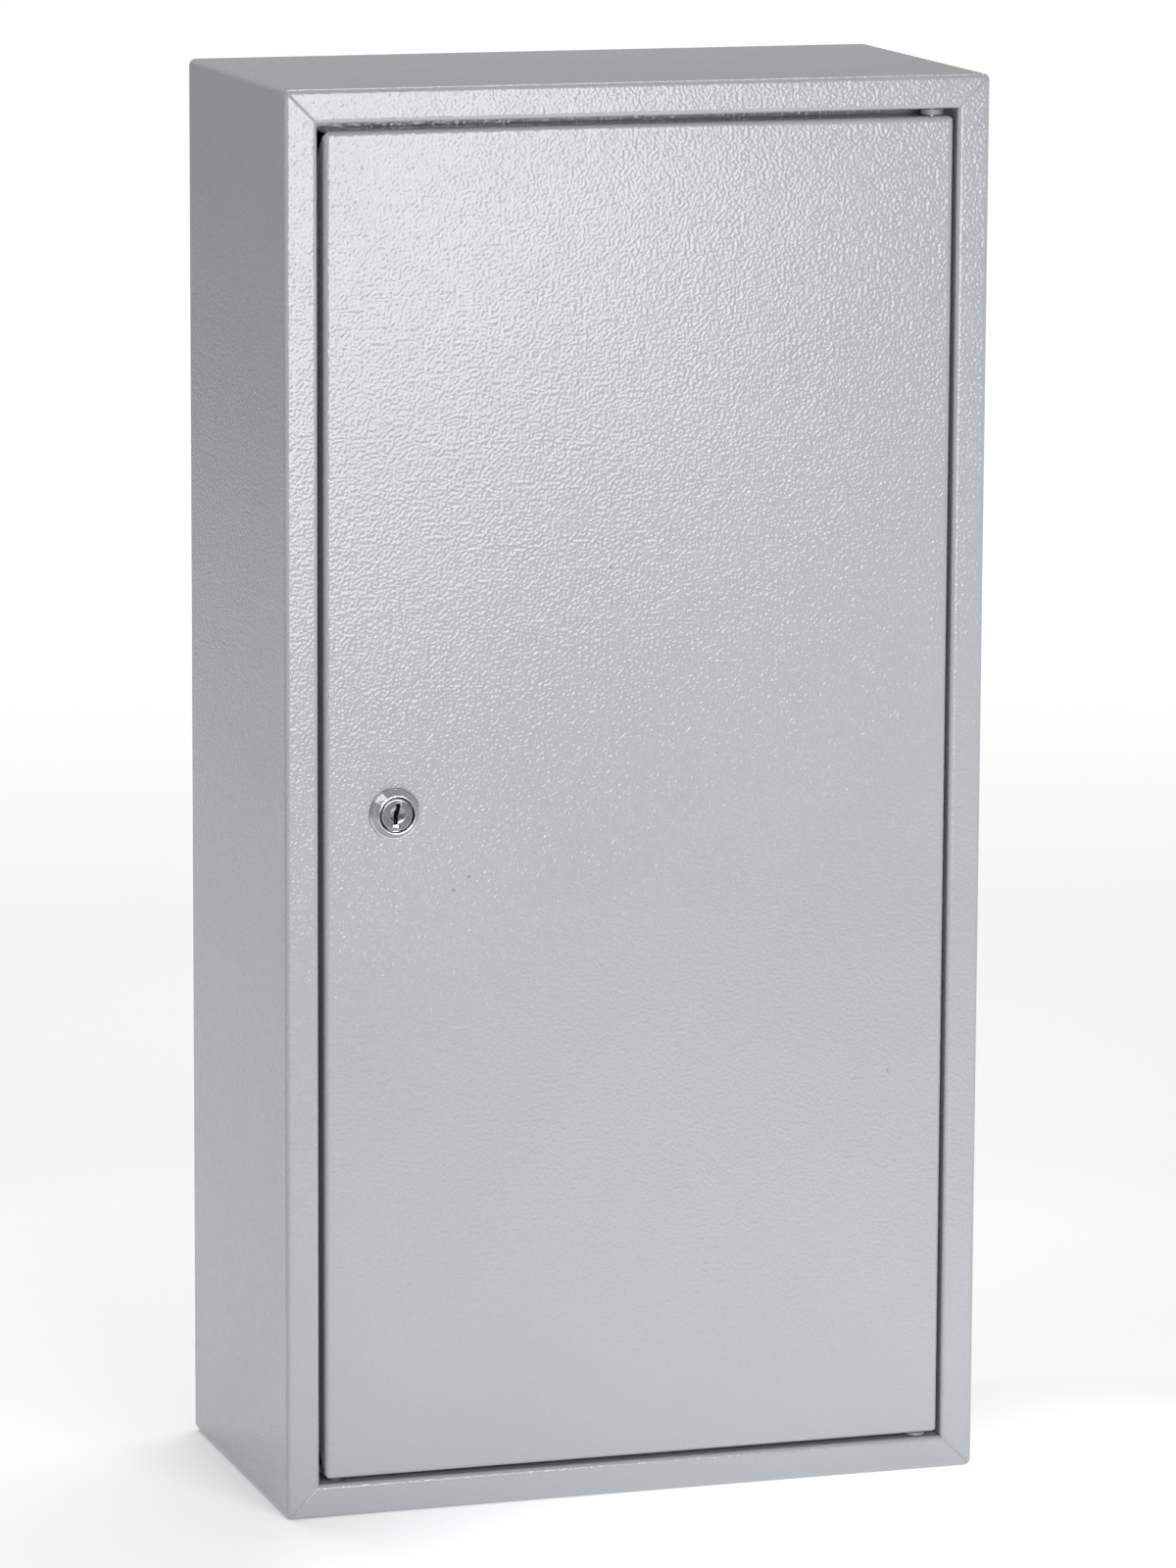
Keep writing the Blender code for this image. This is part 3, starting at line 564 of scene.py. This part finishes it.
def build_door():
    """Builds the door and returns the height of its middle, which the lock shares."""
    low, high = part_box("door_panel")
    width, height = high.x - low.x, high.z - low.z
    middle = (low + high) / 2
    profile = pan_profile(DOOR_FLANGE, DOOR_SHEET, DOOR_BEND)
    door = mesh_object("door", sweep_round(profile, width / 2, height / 2, 1.4 * MM, closed=False))
    holes = bmesh.new()
    for side_x, side_z in CORNERS:
        centre = (side_x * (width / 2 - HINGE_INSET), HINGE_SETBACK, side_z * (height - DOOR_SHEET) / 2)
        add_cylinder(holes, HINGE_HOLE, 3 * DOOR_SHEET, centre, "Z")
    carve(door, door_reliefs(width, height), holes)
    slot = prism(double_d(BARREL_WIDTH + 2 * GAP, BARREL_FLATS + 2 * GAP), -3 * MM, 3 * MM)
    slot.transform(Matrix.Translation((LOCK_X - middle.x, 0, 0)) @ Matrix.Rotation(math.pi / 2, 4, "X"))
    carve(door, slot)
    placed(door, Matrix.Translation((middle.x, -DEPTH, middle.z)))
    finish_piece(door, PAINT, "door", "paint", "door_panel", edge=0.12 * MM)
    return middle.z


# ----------------------------------------------------------------------- lock


def threads(radius, depth, pitch, low, high):
    """(radius, height) points of a threaded shank, from low up to high."""
    points, height = [], low
    while height + pitch <= high:
        points += [(radius - depth, height), (radius, height + pitch * 0.5), (radius, height + pitch * 0.6)]
        height += pitch
    return points + [(radius - depth, height), (radius, high)]


def build_housing(place):
    """The lock's body: threaded barrel, brim, conical head, and a rounded rim round the plug's recess."""
    bore, recess, barrel, brim = 6.0 * MM, 6.85 * MM, BARREL_WIDTH / 2, 9.9 * MM
    rear, seat, floor = -18.2 * MM, 0.3 * MM, 1.8 * MM
    outline = [(bore, rear)] + threads(barrel, 0.45 * MM, 1.0 * MM, rear, -1.3 * MM) + [(barrel, seat)]
    outline += [(brim, seat), (brim, 0.75 * MM), (9.72 * MM, 0.95 * MM), (9.45 * MM, 1.0 * MM)]
    outline += arc((7.25 * MM, 3.75 * MM), 0.4 * MM, 38, 130, 8)
    outline += [(recess, 3.85 * MM), (recess, floor), (bore, floor)]
    housing = mesh_object("lock_body", turned(outline, 128))
    flats = bmesh.new()
    cut = 5 * MM
    for side in (-1, 1):
        add_box(flats, (cut, 20 * MM, 20 * MM), (side * (BARREL_FLATS + cut) / 2, 0, -10.02 * MM))
    carve(housing, flats)
    placed(housing, place)
    finish_piece(housing, CHROME, "door", "chrome", "lock_housing", edge=0.06 * MM, limit=38)


def build_plug(place):
    """The plug: a dished face with a key slot, and a square stub behind for the cam, tapped for its screw."""
    radius, face, rounding = 5.7 * MM, 6.4 * MM, 0.75 * MM
    top, shoulder, rear = PLUG_FACE, 2.1 * MM, -18.6 * MM
    outline = [(0, rear), (radius, rear), (radius, shoulder), (face, shoulder)]
    outline += arc((face - rounding, top - rounding), rounding, 0, 90, 8)
    outline += [(3.2 * MM, top), (3.05 * MM, top - 0.04 * MM), (0, top - 1.0 * MM)]
    plug = mesh_object("lock_core", turned(outline, 128))
    stub = bmesh.new()
    add_box(stub, (7 * MM, 7 * MM, 4.6 * MM), (0, 0, -18.9 * MM))
    carve(plug, stub, operation="UNION")
    slot = prism([(x * MM, y * MM) for x, y in KEYWAY], top - 15 * MM, top + 1 * MM)
    tapped = bmesh.new()
    add_cylinder(tapped, 4 * MM, 10 * MM, (0, 0, -21.2 * MM), "Z")
    carve(plug, slot, tapped)
    placed(plug, place)
    finish_piece(plug, NICKEL, "lock", "nickel", "lock_plug", edge=0.08 * MM, limit=38)


def build_cam(place):
    hub, tip, rounding, front = 8.0 * MM, 6.0 * MM, 2.0 * MM, -19.0 * MM
    outline = (
        arc((0, 0), hub, 0, 180, 32)
        + arc((-tip + rounding, -CAM_REACH + rounding), rounding, 180, 270)
        + arc((tip - rounding, -CAM_REACH + rounding), rounding, 270, 360)
    )
    cam = mesh_object("cam", prism(outline, front - CAM_THICK, front))
    square = bmesh.new()
    add_box(square, (7.6 * MM, 7.6 * MM, 6 * MM), (0, 0, -20 * MM))
    carve(cam, square)
    placed(cam, place)
    finish_piece(cam, ZINC, "lock", "zinc", "lock_cam", edge=0.3 * MM, segments=3)


def pan_screw(name, shank, length):
    """Pan-head screw about local Z with a cross recess: head above z = 0, threaded shank below."""
    head, thick, rounding = SCREW_HEAD, SCREW_HEAD_THICK, 0.9 * MM
    outline = [(0, -length)] + threads(shank, 0.25 * MM, 0.7 * MM, -length, -0.2 * MM)
    outline += [(shank, 0), (head, 0)]
    outline += arc((head - rounding, thick - rounding - 0.25 * MM), rounding, 0, 60, 6)
    outline += [(head * 0.45, thick - 0.08 * MM), (0, thick)]
    screw = mesh_object(name, turned(outline, 48))
    cross = bmesh.new()
    for turn in (0, 90):
        add_box(cross, (4.2 * MM, 0.9 * MM, 3.2 * MM), (0, 0, thick), turn=turn, axis="Z")
    return carve(screw, cross)


def barrel_hole(length, middle):
    bm = bmesh.new()
    add_cylinder(bm, BARREL_WIDTH + 2 * GAP, length, (0, 0, middle), "Z", steps=96)
    return bm


def build_star_washer(place):
    tip, root, teeth_count = 10.25 * MM, 9.4 * MM, 24
    teeth = []
    for i in range(teeth_count):
        start = i * 360 // teeth_count
        teeth += arc((0, 0), tip, start, start + 8, 3)
        teeth += arc((0, 0), root, start + 9.5, start + 13.5, 2)
    washer = mesh_object("star_washer", prism(teeth, -2.1 * MM, -1.3 * MM))
    carve(washer, barrel_hole(4 * MM, -1.7 * MM))
    placed(washer, place)
    finish_piece(washer, ZINC, "door", "zinc", "lock_washer", edge=0.08 * MM)


def build_nut(place):
    across_flats = 21.0 * MM
    hexagon = arc((0, 0), across_flats / math.sqrt(3), 0, 300, 5)
    nut = mesh_object("barrel_nut", prism(hexagon, -6.4 * MM, -2.4 * MM))
    carve(nut, barrel_hole(8 * MM, -4.4 * MM))
    placed(nut, place)
    finish_piece(nut, ZINC, "door", "zinc", "lock_nut", edge=0.45 * MM, segments=3)


def build_cam_fixing(place):
    ring = flat_ring(2.3 * MM, 4.8 * MM, -22.4 * MM, -21.5 * MM)
    spring = placed(mesh_object("spring_washer", turned(ring, 64)), place)
    finish_piece(spring, ZINC, "lock", "zinc", "cam_washer", edge=0.12 * MM)

    screw = pan_screw("cam_fixing", 1.7 * MM, 5.5 * MM)
    over = Matrix.Translation((0, 0, -22.7 * MM)) @ Matrix.Rotation(math.pi, 4, "X")
    placed(screw, place @ over)
    finish_piece(screw, ZINC, "lock", "zinc", "cam_screw", edge=0.07 * MM)


# ------------------------------------------------------------------ key rails


def upright_section():
    """A hat section open to the rear, with its feet against the back panel."""
    rear = -SHELL_SHEET - GAP
    web = rear - UPRIGHT_DEPTH
    half, foot, thick = UPRIGHT_WEB / 2, UPRIGHT_WEB / 2 + UPRIGHT_FOOT, UPRIGHT_SHEET
    bend, small = 0.9 * MM, 0.36 * MM
    side = [(-foot, rear), (-foot, rear - thick)]
    side += arc((-half - small, rear - thick - small), small, 90, 0, 4)
    side += arc((-half + bend, web + bend), bend, 180, 270, 5)
    outer = side + [(-x, y) for x, y in reversed(side)]
    inside = [(half - thick, rear)]
    inside += arc((half - thick - 0.3 * MM, web + thick + 0.3 * MM), 0.3 * MM, 0, -90, 3)
    return outer + inside + [(-x, y) for x, y in reversed(inside)]


def build_uprights():
    for name in ("left", "right"):
        low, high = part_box(f"upright_{name}")
        upright = mesh_object(f"rack_{name}", prism(upright_section(), low.z, high.z))
        holes = bmesh.new()
        for i in range(RACK_HOLES):
            z = (i - RACK_HOLES // 2) * RACK_PITCH
            add_cylinder(holes, SCREW_HOLE, 8 * MM, (0, -9.5 * MM, z), "Y", steps=32)
        carve(upright, holes)
        placed(upright, Matrix.Translation(((low.x + high.x) / 2, 0, 0)))
        finish_piece(upright, ZINC, "cabinet", "zinc", f"upright_{name}", edge=0.1 * MM)


def hook_path():
    """(y, z) points along a hook's middle, from the rail to its tip, each with the hook's width there."""
    arm, bend, reach, rise = -18 * MM, 2.5 * MM, 22 * MM, 10 * MM
    tip = arm + rise
    path = arc((-bend, arm + bend), bend, 360, 270, 6) + arc((-reach + bend, arm + bend), bend, 270, 180, 6)
    widths = [HOOK_WIDTH] * len(path)
    for step, width in ((1.6, 5.0), (0.9, 4.8), (0.35, 4.2), (0, 3.0)):
        path.append((-reach, tip - step * MM))
        widths.append(width * MM)
    return list(zip(path, widths))


def rail_surface():
    """Middle surface of a hook rail, with its tongues bent out and up."""
    start, *rest = hook_path()
    bm = bmesh.new()
    hooks = [(i - (HOOK_COUNT - 1) / 2) * HOOK_PITCH for i in range(HOOK_COUNT)]
    edges = sorted(x + side * HOOK_WIDTH / 2 for x in hooks for side in (-1, 1))
    columns = [-RAIL_WIDTH / 2, *edges, RAIL_WIDTH / 2]
    upper = [bm.verts.new((x, 0, RAIL_TOP)) for x in columns]
    lower = [bm.verts.new((x, 0, start[0][1])) for x in columns]
    for i in range(len(columns) - 1):
        bm.faces.new((upper[i], upper[i + 1], lower[i + 1], lower[i]))
    for number, middle in enumerate(hooks):
        row = [lower[1 + 2 * number], lower[2 + 2 * number]]
        for (y, z), width in rest:
            next_row = [bm.verts.new((middle + side * width / 2, y, z)) for side in (-1, 1)]
            bm.faces.new((row[0], row[1], next_row[1], next_row[0]))
            row = next_row
    return bm


def add_figure(bm, words, place):
    """Adds one number as a thin solid, placed by a matrix."""
    text = bpy.data.curves.new("figure", "FONT")
    text.body = words
    text.size = FIGURE_SIZE
    text.extrude = FIGURE_RELIEF
    text.resolution_u = 4
    text.align_x, text.align_y = "CENTER", "CENTER"
    holder = bpy.data.objects.new("figure", text)
    bpy.context.scene.collection.objects.link(holder)
    bpy.context.view_layer.update()
    mesh = bpy.data.meshes.new_from_object(holder.evaluated_get(bpy.context.evaluated_depsgraph_get()))
    mesh.transform(place)
    bm.from_mesh(mesh)
    bpy.data.objects.remove(holder)
    bpy.data.meshes.remove(mesh)
    bpy.data.curves.remove(text)


def number_figures(name, first, low, high):
    """Raised black figures for one strip, a number over each hook."""
    bm = bmesh.new()
    for i in range(HOOK_COUNT):
        x = (i - (HOOK_COUNT - 1) / 2) * HOOK_PITCH
        add_figure(bm, str(first + i), facing(x, low.y - 0.02 * MM, (low.z + high.z) / 2))
    figures = mesh_object(name, bm)
    figures.data.materials.append(INK)
    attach(figures, "cabinet")


def build_rail(number):
    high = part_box(f"hook_rail_{number}")[1]
    rail = mesh_object(f"key_rail_{number}", rail_surface())
    solid = rail.modifiers.new("sheet", "SOLIDIFY")
    solid.thickness = RAIL_SHEET
    solid.offset = 0
    solid.use_even_offset = True
    baked(rail)
    holes = bmesh.new()
    for side in (-1, 1):
        add_cylinder(holes, SCREW_HOLE, 8 * MM, (side * RAIL_SCREW_X, 0, 0), "Y", steps=32)
    carve(rail, holes)
    placed(rail, Matrix.Translation((0, high.y - RAIL_SHEET / 2, high.z - RAIL_TOP)))
    finish_piece(rail, ZINC, "cabinet", "zinc", f"hook_rail_{number}", edge=0.25 * MM)


def build_strip(number):
    low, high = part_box(f"number_strip_{number}")
    outline = rounded_loop((high.x - low.x) / 2, (high.z - low.z) / 2, 1 * MM)
    strip = mesh_object(f"label_{number}", prism(outline, -0.3 * MM, 0.3 * MM))
    placed(strip, facing(0, (low.y + high.y) / 2, (low.z + high.z) / 2))
    finish_piece(strip, LABEL, "cabinet", "label", f"number_strip_{number}", edge=0.08 * MM)
    number_figures(f"figures_{number}", 1 + (number - 1) * HOOK_COUNT, low, high)


def build_rail_screw(number, side, turn):
    node = f"rail_screw_{number}_{side}"
    low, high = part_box(node)
    screw = pan_screw(f"fixing_{number}_{side}", 2.0 * MM, 7.0 * MM)
    spin = Matrix.Rotation(math.radians(turn), 4, "Z")
    head = facing((low.x + high.x) / 2, low.y + SCREW_HEAD_THICK, (low.z + high.z) / 2)
    placed(screw, head @ spin)
    finish_piece(screw, ZINC, "cabinet", "zinc", node, edge=0.07 * MM)


def build_rails():
    for number in range(1, RAIL_COUNT + 1):
        build_rail(number)
        build_strip(number)
        build_rail_screw(number, "left", 23 * number + 40)
        build_rail_screw(number, "right", 23 * number)


# ------------------------------------------------------------ studio and camera


def floor_finish():
    """White matt floor with a painted glow. It glows ahead of the camera and round the cabinet, as a lit
    backdrop does, and most in a pool just before the door, which lights the door's lower part as painted
    light.
    """
    n = Nodes("pale_floor")
    n.set(Base_Color=(FLOOR_GREY, FLOOR_GREY, FLOOR_GREY, 1.0), Roughness=0.9, Specular_IOR_Level=0.1)
    ahead = n.ramp(n.measure("DOT_PRODUCT", FLOOR_AHEAD), -1.3, -0.58)
    aside = n.ramp(n.measure("DOT_PRODUCT", FLOOR_ACROSS), -1.6, -0.30)
    distance = n.measure("DISTANCE")
    outward = n.ramp(distance, 0.5, 2.2, 0.04, 0.68)
    glow = n.product(n.product(ahead, aside), outward)
    # Painted light: a faint glow round the cabinet, and a strong glowing pool before the door.
    glow = n.sum(glow, n.ramp(distance, 1.0, 0.4), NEAR_GLOW_SHARE)
    glow = n.sum(glow, n.ramp(n.measure("DISTANCE", FRONT_GLOW_POOL), 0.34, 0.10), POOL_GLOW_SHARE)
    return n.set(Emission_Color=(1, 1, 1, 1), Emission_Strength=glow)


def build_floor():
    floor = bmesh.new()
    bmesh.ops.create_grid(floor, x_segments=1, y_segments=1, size=30)
    stage = mesh_object("floor", floor)
    stage.location.z = -HEIGHT / 2 - FLOOR_DROP
    stage.data.materials.append(floor_finish())


def add_light(name, location, turn, size, radiance):
    """A soft box facing local -Z, hidden from the camera but not from reflections."""
    data = bpy.data.lights.new(name, "AREA")
    data.shape = "RECTANGLE"
    data.size, data.size_y = size
    data.energy = radiance * math.pi * size[0] * size[1]
    light = bpy.data.objects.new(name, data)
    bpy.context.scene.collection.objects.link(light)
    light.location = location
    light.rotation_euler = [math.radians(a) for a in turn]
    light.visible_camera = False


def build_lights():
    """Soft boxes before the door (mirrored in its upper left), above and behind, and to the upper left."""
    add_light("key", (0.085, -1.14, 0.168), (90, -25, 0), (0.58, 0.46), 7.9)
    add_light("overhead", (0.0, 0.5, 1.3), (0, 0, 0), (1.2, 0.8), 3.9)
    add_light("left", (-1.05, -0.3, 1.1), (0, -40, 0), (0.9, 0.35), 2.4)
    world = bpy.context.scene.world or bpy.data.worlds.new("studio")
    bpy.context.scene.world = world
    world.use_nodes = True
    background = world.node_tree.nodes["Background"]
    background.inputs["Color"].default_value = (1.0, 1.0, 1.0, 1.0)
    background.inputs["Strength"].default_value = WORLD_STRENGTH


def build_camera():
    """The photograph's view: from the left and a little above, through a long lens."""
    yaw, pitch, roll = (math.radians(a) for a in (CAMERA_YAW, CAMERA_PITCH, CAMERA_ROLL))
    data = bpy.data.cameras.new("camera")
    data.sensor_width = 36
    data.lens = CAMERA_LENS
    data.clip_end = 100
    camera = bpy.data.objects.new("camera", data)
    bpy.context.scene.collection.objects.link(camera)
    aim = Matrix.Rotation(-yaw, 4, "Z") @ Matrix.Rotation(math.pi / 2 - pitch, 4, "X")
    camera.matrix_world = Matrix.Translation(CAMERA_AT) @ aim @ Matrix.Rotation(roll, 4, "Z")
    bpy.context.scene.camera = camera


def build():
    build_camera()
    build_shell()
    build_back()
    build_hinges()
    middle = build_door()
    place = facing(LOCK_X, -DEPTH, middle)
    build_housing(place)
    build_plug(place)
    build_cam(place)
    build_star_washer(place)
    build_nut(place)
    build_cam_fixing(place)
    build_uprights()
    build_rails()
    build_floor()
    build_lights()
    bpy.context.scene.view_settings.view_transform = "Standard"


build()
